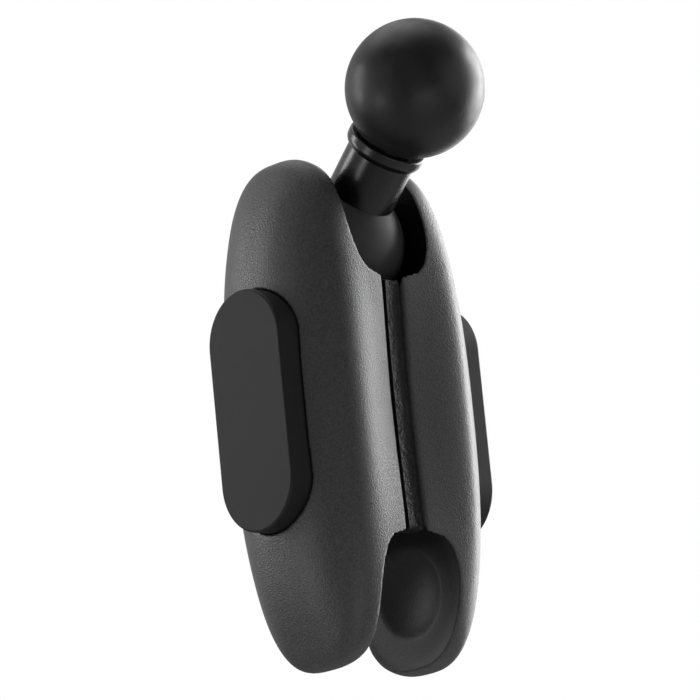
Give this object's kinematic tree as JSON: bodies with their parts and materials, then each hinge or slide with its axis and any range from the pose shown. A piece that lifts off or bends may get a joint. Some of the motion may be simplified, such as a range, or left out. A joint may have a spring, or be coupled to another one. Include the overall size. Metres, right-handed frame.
{
  "type": "phone handlebar mount ball clamp arm",
  "caption": "Double-socket clamp arm that grips a double-ball stud, joining a phone holder to a handlebar base.",
  "frame": {"origin": "centre of the empty lower socket, where the handlebar base's ball sits", "axes": "+Z along the arm from the lower socket to the upper one, X across the two shells and along the clamp screw with the screw's head at -X, -Y towards the side that the stud leans to"},
  "size_m": [0.0494, 0.054, 0.1153],
  "materials": {
    "shell_plastic": "fine spark-eroded grain",
    "cap_plastic": "smooth satin",
    "spacer_plastic": "coarse grain",
    "ball_rubber": "satin",
    "core_metal": "black anodised, glossy",
    "fastener_steel": "zinc plated",
    "spring_steel": "oiled",
    "insert_nylon": "smooth"
  },
  "bodies": {
    "base_half": {"right_shell": "shell_plastic", "centre_spacer": "spacer_plastic", "lock_nut": "fastener_steel", "nut_insert": "insert_nylon", "clamp_spring": "spring_steel", "upper_pin": "fastener_steel", "lower_pin": "fastener_steel"},
    "clamp_half": {"left_shell": "shell_plastic", "head_washer": "fastener_steel"},
    "screw": {"clamp_screw": "fastener_steel"},
    "left_cover": {"left_cap": "cap_plastic"},
    "right_cover": {"right_cap": "cap_plastic"},
    "stud_base": {"lower_core": "core_metal", "lower_ball": "ball_rubber"},
    "stud_arm": {"stud_neck": "core_metal"},
    "stud_head": {"upper_ball": "ball_rubber"}
  },
  "joints": [
    {"name": "shell_open", "type": "slide", "parent": "base_half", "child": "clamp_half", "axis": [-1, 0, 0], "range_m": [0, 0.0025], "deforming": ["clamp_spring"]},
    {"name": "screw_turn", "type": "hinge", "parent": "clamp_half", "child": "screw", "pos_m": [-0.012, 0, 0.0322], "axis": [-1, 0, 0], "range_deg": [0, 900]},
    {"name": "left_cap_pull", "type": "slide", "parent": "clamp_half", "child": "left_cover", "axis": [-1, 0, 0], "range_m": [0, 0.012]},
    {"name": "right_cap_pull", "type": "slide", "parent": "base_half", "child": "right_cover", "axis": [1, 0, 0], "range_m": [0, 0.012]},
    {"name": "stud_swing", "type": "hinge", "parent": "base_half", "child": "stud_base", "pos_m": [0, 0, 0.0644], "axis": [1, 0, 0], "range_deg": [-136.8, 43.2]},
    {"name": "stud_tilt", "type": "hinge", "parent": "stud_base", "child": "stud_arm", "pos_m": [0, 0, 0.0644], "axis": [0, -0.6845, -0.729], "range_deg": [-10, 10]},
    {"name": "stud_spin", "type": "hinge", "parent": "stud_arm", "child": "stud_head", "pos_m": [0, 0, 0.0644], "axis": [0, -0.729, 0.6845], "continuous": true}
  ],
  "couplings": [
    {"joint": "screw_turn", "follows": "shell_open", "rad_per_m": 6283.2}
  ]
}
